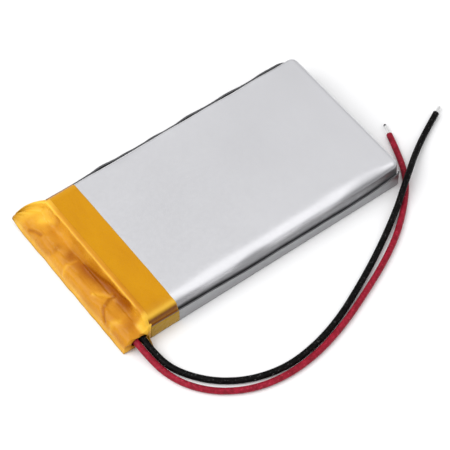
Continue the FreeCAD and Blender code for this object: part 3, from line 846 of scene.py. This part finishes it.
def cap_point(y, j):
    """One point of the overhang and its fold, edge and pale values, which paint shade, shade and
    highlights.
    """
    if j <= CAP_STEPS:
        t = j / CAP_STEPS
        here = through(CAP_SECTION, t)
        ahead = through(CAP_SECTION, min(1, t + 0.01)) - through(CAP_SECTION, max(0, t - 0.01))
        normal = Vector((ahead.y, -ahead.x)).normalized() * -1
        if normal.x > 0.2:
            normal.negate()
        height, shade_sheen_and_tone = relief(y, t * SECTION_LENGTH)
        free = smooth_step(t, 0.14, 0.26) * (1 - smooth_step(t, 0.94, 1.0))
        here = here + normal * height * free
        sag = 0.35 * math.exp(-((t - 0.48) / 0.12) ** 2) * smooth_step(-y, -7.0, 3.0)
        here.y -= sag * (1 - smooth_step(-y, 9.0, 14.0)) * 0.8
        body = body_top(y)
        if here.y > LEDGE:
            here.y = LEDGE + (here.y - LEDGE) * (body - LEDGE) / (BODY_FLAT - LEDGE)
        # a darker line along the lip where it meets the floor, painted shade
        rim = smooth_step(t, 0.955, 0.99)
        pale_rim = smooth_step(t, 0.80, 0.90) * (1 - rim)
        # a painted highlight along the bend at the top edge, a paler rim before the lip and a paler
        # gusset, and a painted highlight on the bulged far end
        line = math.exp(-((t - 0.16) / 0.03) ** 2) * (1 - smooth_step(-y, 12.5, 14.0))
        gusset = smooth_step(-y, 14.4, 15.6) * smooth_step(here.x, -28.7, -27.8)
        # creases take painted shade, ridges a painted highlight
        fold = max(0.0, min(1.0, shade_sheen_and_tone)) * free
        highlight_and_pale = max(0.0, min(1.0, -shade_sheen_and_tone)) * free + 0.65 * line
        bulge = smooth_step(y, 11.5, 16.0) * (1 - smooth_step(t, 0.45, 0.75))
        highlight_and_pale = min(1.0, highlight_and_pale + 0.55 * bulge + 0.35 * pale_rim + 0.8 * gusset)
        return here.x, here.y, fold * (1 - gusset), 0.85 * rim, highlight_and_pale
    x, z = CAP_UNDER[j - CAP_STEPS - 1]
    # the underside takes painted shade
    return x, z, 0.0, 0.5, 0.0


def make_cap():
    """The overhang: its pulled-together end by the leads, its length, and its gathered far end."""
    width = CAP_STEPS + 1 + len(CAP_UNDER)
    points, fold, edge, highlight_and_pale, rows = [], [], [], [], []

    def row(y, place):
        rows.append(y)
        for j in range(width):
            x, z, f, e, s = cap_point(y, j)
            x, py, z, f, e, s = place(x, y, z, f, e, s, j)
            points.append((x, py, max(0.01, z)))
            fold.append(f)
            edge.append(e)
            highlight_and_pale.append(s)

    def lip_sway(x, y, z, f, e, s, j):
        outer = smooth_step(-x, 31.6, 32.4)
        return x + 0.16 * outer * ripple(y, 0, 7.0, 0.28), y, z, f, e, s

    def end_wall(part):
        cx, cz, wide, tall = LEAD_HOLE

        def bearing(x, z):
            return math.atan2((z - cz) / tall, (x - cx) / wide) % math.tau

        # the section is open towards the body, so its ends are pulled together round the hole
        first, last = (bearing(*cap_point(NEAR_END, j)[:2]) for j in (0, width - 1))

        def place(x, y, z, f, e, s, j):
            a = (0.01 + 0.98 * (bearing(x, z) - first) / (last - first)) * math.tau
            hx, hz = cx + wide * math.cos(a), cz + tall * math.sin(a)
            pleat = 0.16 * math.sin(a * 5 + 0.7) * math.sin(math.pi * part)
            gusset = smooth_step(x, -28.4, -27.2) * smooth_step(z, 2.6, 3.8)
            out = 0.30 * math.sin(math.pi * part * 0.6) + pleat
            # darker towards the lead hole as painted shade, the gusset paler
            return (x + (hx - x) * part, y - out - 0.25 * gusset * part, z + (hz - z) * part,
                    min(1.0, f + 0.75 * part * (1 - gusset)), e * (1 - part) + 0.15,
                    max(s * (1 - part), 0.95 * gusset * (1 - part)))
        return place

    def gathered(t):
        def place(x, y, z, f, e, s, j):
            open_part = (1 - t) ** 0.42
            pleat = math.sin(j * 0.55)
            # pleats and the tip of the gathered end take painted shade, its middle a painted
            # highlight
            return (x * open_part + GATHER_X * (1 - open_part), y,
                    z * open_part + GATHER_Z * (1 - open_part) + 0.16 * pleat * t,
                    min(1.0, f + 0.25 * max(0, pleat) * t), min(1.0, e + 0.5 * t * t),
                    min(1.0, s + 0.35 * math.sin(math.pi * t)))
        return place

    for part in (1.0, 0.75, 0.5, 0.28, 0.12):
        row(NEAR_END, end_wall(part))
    for i in range(CAP_STATIONS + 1):
        row(NEAR_END + (FAR_END - NEAR_END) * i / CAP_STATIONS, lip_sway)
    for i in range(1, GATHER_STATIONS + 1):
        t = i / GATHER_STATIONS * 0.985
        row(FAR_END + (GATHER_TIP - FAR_END) * t, gathered(t))
    faces = grid_faces(len(rows), width)
    for i in range(len(rows) - 1):
        if rows[i] > FAR_END - 0.5 or i < 4:
            a, b = i * width, (i + 1) * width
            faces.append((a + width - 1, a, b, b + width - 1))
    last = (len(rows) - 1) * width
    faces.append(tuple(range(last, last + width)))
    cap = mesh_object("amber_tape_cap", points, faces, CAP_LOOK,
                      {"fold": fold, "edge": edge, "highlight_and_pale": highlight_and_pale})
    solid_film(cap)
    return cap


def make_tail():
    """The short curled end of tape beside the black lead."""
    rows, facing = [], Vector((1, 0, -0.2)).normalized()
    for i in range(13):
        t = i / 12
        spine = Vector((-27.15 - 0.35 * t, -16.95 - 2.3 * t, 1.75 - 0.5 * t - 0.5 * t * t))
        row = []
        for k in range(5):
            v = (k / 4 - 0.5) * (0.75 - 0.35 * t)
            curl = 0.12 * math.cos(k / 4 * math.pi) * t
            row.append((spine + Vector((0.35 * v, 0.1 * curl, v)), facing))
        rows.append(row)
    points, faces = slab(rows, FILM / 2)
    values = len(points)
    return mesh_object("amber_tape_tail", points, faces, CAP_LOOK,
                       {"fold": [0.8] * values, "edge": [0.6] * values, "highlight_and_pale": [0.0] * values})


rides(make_band(), "amber_tape", "band_tape")
rides(make_cap(), "amber_tape", "cap_tape")
tail = make_tail()
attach(tail, ROOT)


# ------------------------------------------------------------------ pieces kept from the CAD
RED_TIP_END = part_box("red_lead_tip")[1][1] / MM
NODE_LOOKS = {
    ("red_lead_tip",): tip_look("tinned_strands_cut", RED_TIP_END - 0.55, RED_TIP_END - 0.35),
    ("black_lead_tip", "red_lead_root", "black_lead_root"): TIN_LOOK,
    ("board_pads", "chip_legs", "small_part_end_caps"):
        metal_look("tinned_copper", (0.76, 0.76, 0.74), 0.30),
    ("solder_joints",): metal_look("solder", (0.72, 0.72, 0.73), 0.22),
    ("positive_nickel_plate", "negative_nickel_plate", "negative_tab"):
        metal_look("nickel", (0.66, 0.63, 0.58), 0.30, stretch=(0.2, 1.0, 1.0)),
    ("positive_tab",): metal_look("aluminium_strip", (0.82, 0.82, 0.83), 0.28,
                                  stretch=(0.2, 1.0, 1.0)),
    ("circuit_board",): plain_look("solder_mask", (0.008, 0.13, 0.05), (0.02, 0.20, 0.08), 0.35,
                                   coat=0.4),
    ("board_insulating_strip",): plain_look("insulating_paper", (0.66, 0.64, 0.55),
                                            (0.80, 0.78, 0.70), 0.8),
    ("protection_chip", "switch_chip"): plain_look("chip_moulding", (0.015, 0.015, 0.016),
                                                   (0.04, 0.04, 0.042), 0.55, 4.0),
    ("resistor_bodies",): plain_look("resistor_film", (0.02, 0.02, 0.022), (0.05, 0.05, 0.055),
                                     0.35, 4.0),
    ("capacitor_body",): plain_look("capacitor_ceramic", (0.42, 0.29, 0.18), (0.56, 0.41, 0.28),
                                    0.5, 4.0),
    ("positive_tab_sealant", "negative_tab_sealant"):
        plain_look("sealant_film", (0.78, 0.78, 0.72), (0.88, 0.88, 0.83), 0.4),
    ("separator_inner", "separator_outer"):
        plain_look("separator_film", (0.84, 0.84, 0.82), (0.93, 0.93, 0.91), 0.6),
    ("anode_foil",): plain_look("anode_coating", (0.035, 0.035, 0.04), (0.08, 0.08, 0.085),
                                0.85, 3.0),
    ("cathode_foil",): plain_look("cathode_coating", (0.07, 0.07, 0.08), (0.14, 0.14, 0.15),
                                  0.8, 3.0),
    ("roll_tape",): plain_look("roll_tape_film", (0.12, 0.38, 0.18), (0.22, 0.52, 0.28), 0.3),
}
for names, look in NODE_LOOKS.items():
    for name in names:
        for material_slot in bpy.data.objects[name].material_slots:
            material_slot.material = look
